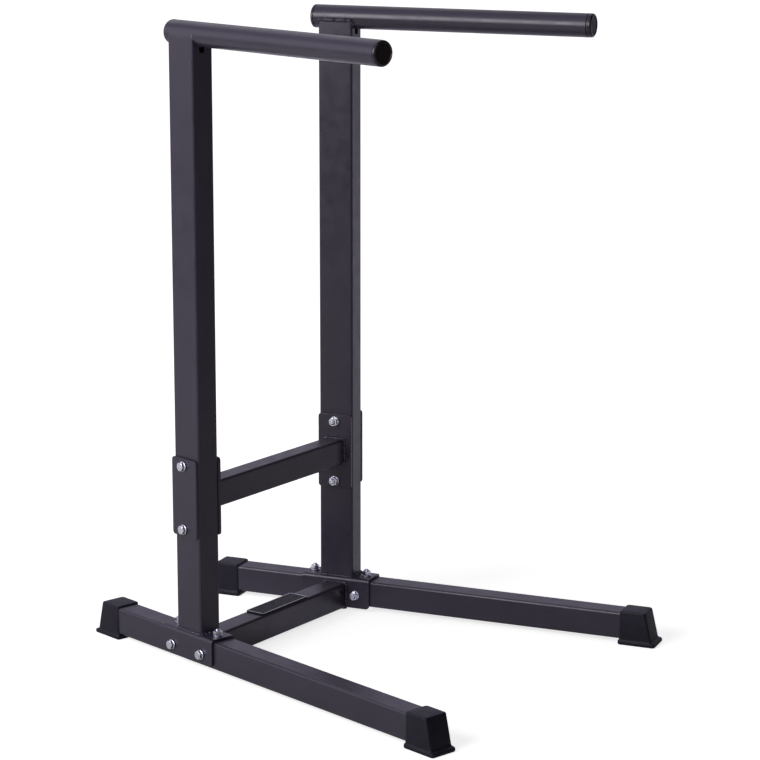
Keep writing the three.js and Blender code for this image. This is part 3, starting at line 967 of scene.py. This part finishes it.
class DIPSTATION_OT_plugs(bpy.types.Operator):
    """Mould the black plugs with their collars in the handles' front ends, and coated ones at the rear"""

    bl_idname = "dip_station.plugs"
    bl_label = "Handle plugs"

    # Each end, its direction along the handle, and the finishes of its rim and dish
    ends = (("front", -1, "plug_rim", "plug_dish"), ("rear", 1, "powder_coat", "powder_coat"))
    steps = 72
    round_steps = 10
    head = 5 * MM
    rounding = 3.4 * MM
    rim = 3.9 * MM
    dish = 0.9 * MM
    dish_slope = 0.5 * MM
    stem = 10 * MM
    stem_gap = 2.4 * MM
    # Radius that is left round the axis before an end is closed
    core = 0.2 * MM
    back_edge = 0.3 * MM
    groove = 0.4 * MM
    collar_edge = 0.2 * MM
    collar_gap = 0.05 * MM
    skin_gap = 0.6 * MM
    skin_root = 0.4 * MM
    # Heights of the dish's skin at its edge, halfway in and in the middle
    skin_heights = (0.05 * MM, 0.1 * MM, 0.3 * MM)

    def execute(self, context):
        collar = context.scene.dip_mouldings.collar
        for side in map(SideFrame, SIDES):
            for end, sign, rim, dish in self.ends:
                node = f"{side.name}_{end}_plug"
                radius = side.radius(f"{end}_plug")
                outer = side.reach(f"{end}_plug")[sign > 0].y
                centre = side.middle(f"{end}_plug")
                place = side.place((centre.x, outer - sign * self.head, centre.z), sign)
                turned_piece(f"{node}_rim", self.rim_profile(radius), self.steps, place, [node], rim)
                turned_piece(f"{node}_dish", self.dish_profile(radius), self.steps, place, (), dish)
                if end == "front":
                    profile = self.collar_profile(radius, collar)
                    turned_piece(f"{node}_collar", profile, self.steps, place, loop=True)
        return {"FINISHED"}

    def collar_profile(self, radius, collar):
        """A ring in the coat's finish behind the rim, set off from the handle by a fine groove."""
        inner = radius - self.stem_gap + self.collar_gap
        start, stop, edge = self.groove - collar, -self.collar_gap, self.collar_edge
        back = [(start, inner), (start, radius - edge), (start + edge, radius)]
        return [*back, (stop, radius), (stop, inner)]

    def rim_profile(self, radius):
        """Stem, flange with its rounded edge, and the wall down to the dish."""
        inner, edge, rounding = radius - self.stem_gap, radius - self.rim, self.rounding
        floor = self.head - self.dish
        points = [(-self.stem, self.core), (-self.stem, inner), (0.0, inner)]
        points += [(0.0, radius - self.back_edge), (self.back_edge, radius)]
        points += arc(self.head - rounding, radius - rounding, rounding, rounding, 90, 0, self.round_steps)
        points += [(self.head, edge), (floor, edge - self.dish_slope), (floor, self.core)]
        return points

    def dish_profile(self, radius):
        """A thin skin on the dish, slightly domed in the middle."""
        edge = radius - self.rim - self.skin_gap
        floor = self.head - self.dish
        face = zip(self.skin_heights, (edge, edge / 2, self.core))
        return [(floor - self.skin_root, edge)] + [(floor + height, across) for height, across in face]


class DIPSTATION_OT_fasteners(bpy.types.Operator):
    """Build the bolts, nuts and washers with their threads and chamfers"""

    bl_idname = "dip_station.fasteners"
    bl_label = "Bolts, nuts and washers"

    through = ("upper_joint", "lower_joint", "front_side", "rear_side")
    standing = ("front_top", "rear_top")
    # Furthest turn, in radians, at which a fastener stops
    stop_turn = 0.5
    hex_steps = 72
    crown_share = 0.95
    crown_angle = 30
    mouth = 0.6 * MM
    threaded = 18 * MM
    pitch_levels = 8
    # Phase at which a thread's flank reaches full depth, and how steeply it falls
    flank_full = 1.15
    flank_fall = 2.6
    point_length = 1.2 * MM
    point_depth = 1.1 * MM
    run_out = 0.4 * MM
    shank_relief = 0.1 * MM
    dome_sink = 0.5 * MM
    dome_edge = 0.3 * MM
    dome_steps = 48
    # Angle, in degrees, at which the dome's arc stops short of its middle
    dome_stop = 4
    neck_corner = 0.6 * MM
    washer_edge = 0.35 * MM
    washer_steps = 64
    washer_play = 0.5 * MM
    nut_play = 0.15 * MM

    def execute(self, context):
        self.sizes = context.scene.dip_fasteners
        for side in map(SideFrame, SIDES):
            out = Vector((side.outward, 0, 0))
            for joint in self.through:
                self.fastener(side, joint, out, self.hex_bolt)
            for joint in self.standing:
                self.fastener(side, joint, Vector((0, 0, -1)), self.carriage_bolt)
        return {"FINISHED"}

    def fastener(self, side, joint, out, make_bolt):
        """A bolt whose head points along out, with its washer and nut at the other end."""
        turn = random.Random(f"{side.name}_{joint}").uniform(-self.stop_turn, self.stop_turn)
        kinds = (("bolt", make_bolt, out), ("nut", self.nut, -out), ("washer", self.washer, -out))
        for kind, make, direction in kinds:
            node = f"{side.name}_{joint}_{kind}"
            centre = side.middle(f"{joint}_{kind}")
            low, high = side.reach(f"{joint}_{kind}")
            half = abs((high - low).dot(direction)) / 2
            bm = bmesh.new()
            make(bm, 2 * half)
            spin = Matrix.Rotation(turn if kind != "bolt" else -turn, 4, "X")
            face = direction.to_track_quat("X", "Z").to_matrix().to_4x4()
            place = Matrix.Translation(centre - half * direction) @ face @ spin
            bm.transform(side.matrix @ place)
            finish_piece(f"{node}_plated", bm, [node], "zinc_plating", angle=28)

    def hex_body(self, bm, start, height, bottom_chamfer, bore=0.0):
        """A hexagon with its corners turned off, closed on the axis or round a bore."""
        half_flats = self.sizes.flats / 2
        crown = half_flats * self.crown_share
        slope = math.tan(math.radians(self.crown_angle))
        stop = start + height

        def corners(along, chamfer):
            """The hexagon's outline, which moves along by the chamfer at its corners."""
            def place(angle):
                part = (angle + math.pi / 6) % (math.pi / 3) - math.pi / 6
                radius = half_flats / math.cos(part)
                return radius, along + chamfer * slope * (radius - crown)
            return ring_about(self.hex_steps, place)

        def ring(radius, along):
            return circle(radius, along, self.hex_steps)

        rings = [ring(bore, start), ring(bore + self.mouth, start)] if bore else []
        rings += [ring(crown, start), corners(start, bottom_chamfer), corners(stop, -1), ring(crown, stop)]
        rings += [ring(bore + self.mouth, stop), ring(bore, stop - self.mouth)] if bore else []
        add_rings(bm, rings, loop=bool(bore))

    def thread(self, bm, length, neck):
        """A shank from its pointed tip at 0: a threaded length, then a plain one."""
        sizes = self.sizes
        radius = sizes.diameter / 2
        threaded = min(length, self.threaded)
        levels = round(threaded / sizes.thread_pitch * self.pitch_levels)

        def cut(angle, along):
            """Radius at one angle and one place along the thread."""
            taper = max(0.0, 1 - along / self.point_length) * self.point_depth
            phase = (along / sizes.thread_pitch - angle / TURN) % 1.0
            flank = min(1.0, max(0.0, self.flank_full - abs(phase - 0.5) * self.flank_fall))
            return radius - max(taper, sizes.thread_depth * flank), along

        rings = []
        for i in range(levels + 1):
            along = threaded * i / levels
            rings.append(ring_about(sizes.steps, lambda angle: cut(angle, along)))
        plain = radius - self.shank_relief
        rings += [circle(plain, along, sizes.steps) for along in (threaded + self.run_out, length + neck)]
        add_rings(bm, rings)

    def hex_bolt(self, bm, length):
        sizes = self.sizes
        bearing = length - sizes.head_height - sizes.washer_height
        self.thread(bm, bearing, sizes.washer_height)
        self.disc(bm, bearing)
        self.hex_body(bm, bearing + sizes.washer_height, sizes.head_height, 0.0)

    def carriage_bolt(self, bm, length):
        sizes = self.sizes
        rim, radius, edge = sizes.dome_rim, sizes.dome / 2, self.dome_edge
        bearing = length - sizes.dome_height
        self.thread(bm, bearing, self.dome_sink)
        dome = [(bearing, radius - edge), (bearing + edge, radius)]
        dome += arc(bearing + rim, 0, sizes.dome_height - rim, radius, 90, self.dome_stop, 10)
        add_turned(bm, dome, self.dome_steps)
        half = sizes.diameter / 2
        ring = rounded_ring(half, -half, half, 0, self.neck_corner, steps=3)
        ends = (bearing - sizes.neck, bearing + rim / 2)
        add_rings(bm, [[Vector((x, p.x, p.y)) for p in ring] for x in ends])

    def disc(self, bm, start, bore=0.0):
        """A washer with rounded edges."""
        edge, outer, stop = self.washer_edge, self.sizes.washer / 2, start + self.sizes.washer_height
        rim = arc(start + edge, outer - edge, edge, edge, 180, 90, 3)
        rim += arc(stop - edge, outer - edge, edge, edge, 90, 0, 3)
        if bore:
            rim = [(start, bore), *rim, (stop, bore)]
        add_turned(bm, rim, self.washer_steps, loop=bool(bore))

    def washer(self, bm, length):
        self.disc(bm, 0.0, self.sizes.diameter / 2 + self.washer_play)

    def nut(self, bm, length):
        self.hex_body(bm, 0.0, length, 1.0, bore=self.sizes.diameter / 2 + self.nut_play)


class DIPSTATION_OT_badge(bpy.types.Operator):
    """Build the blank badge plate: a raised rim with a pale line round a dark field"""

    bl_idname = "dip_station.badge"
    bl_label = "Badge plate"

    edge = 0.5 * MM
    line_inset = 0.4 * MM
    line_width = 2.2 * MM
    line_height = 0.25 * MM
    rim = 3 * MM
    recess = 0.5 * MM
    corner = 4 * MM

    def execute(self, context):
        low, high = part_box("badge_plate")
        centre = (low + high) / 2
        half = (high - low) / 2
        top = high.z - self.line_height
        field = top - self.recess

        def ring(inset, height):
            x, y = half.x - inset, half.y - inset
            points = rounded_ring(x, -y, y, height, self.corner - inset)
            return [Vector((centre.x + p.x, centre.y + p.y, p.z)) for p in points]

        plate = bmesh.new()
        rings = [ring(0, low.z)]
        rings += [ring(x, z) for x, z in arc(self.edge, top - self.edge, self.edge, self.edge, 180, 90, 3)]
        rings += [ring(self.rim, top), ring(self.rim + self.edge / 2, field)]
        add_rings(plate, rings)
        finish_piece("badge_plate_enamelled", plate, ["badge_plate"], "badge_enamel")
        line = bmesh.new()
        outer, inner = self.line_inset + self.edge / 2, self.line_inset + self.line_width
        soft = self.line_height / 2
        rings = [ring(outer, field), ring(outer, high.z - soft), ring(outer + soft, high.z)]
        rings += [ring(inner - soft, high.z), ring(inner, high.z - soft), ring(inner, field)]
        add_rings(line, rings, loop=True)
        finish_piece("badge_line", line, finish="badge_line")
        return {"FINISHED"}


OPERATORS = (
    DIPSTATION_OT_stage,
    DIPSTATION_OT_tubes,
    DIPSTATION_OT_handles,
    DIPSTATION_OT_plates,
    DIPSTATION_OT_welds,
    DIPSTATION_OT_feet,
    DIPSTATION_OT_plugs,
    DIPSTATION_OT_fasteners,
    DIPSTATION_OT_badge,
)


class DIPSTATION_PT_panel(bpy.types.Panel):
    """Lists the steps that dress the dip station"""

    bl_idname = "DIPSTATION_PT_panel"
    bl_label = "Dip Station"
    bl_space_type = "VIEW_3D"
    bl_region_type = "UI"
    bl_category = "Dip Station"

    def draw(self, context):
        for operator in OPERATORS:
            self.layout.operator(operator.bl_idname)
        for name, group in GROUPS.items():
            box = self.layout.box()
            for setting in group.__annotations__:
                box.prop(getattr(context.scene, name), setting)


def register():
    for name, group in GROUPS.items():
        bpy.utils.register_class(group)
        setattr(bpy.types.Scene, name, PointerProperty(type=group))
    for operator in OPERATORS:
        bpy.utils.register_class(operator)
    bpy.utils.register_class(DIPSTATION_PT_panel)


def unregister():
    bpy.utils.unregister_class(DIPSTATION_PT_panel)
    for operator in reversed(OPERATORS):
        bpy.utils.unregister_class(operator)
    for name, group in GROUPS.items():
        delattr(bpy.types.Scene, name)
        bpy.utils.unregister_class(group)


def main():
    register()
    bpy.ops.dip_station.stage()
    bpy.ops.dip_station.tubes()
    bpy.ops.dip_station.handles()
    bpy.ops.dip_station.plates()
    bpy.ops.dip_station.welds()
    bpy.ops.dip_station.feet()
    bpy.ops.dip_station.plugs()
    bpy.ops.dip_station.fasteners()
    bpy.ops.dip_station.badge()
    bpy.context.view_layer.update()


if __name__ == "__main__":
    main()
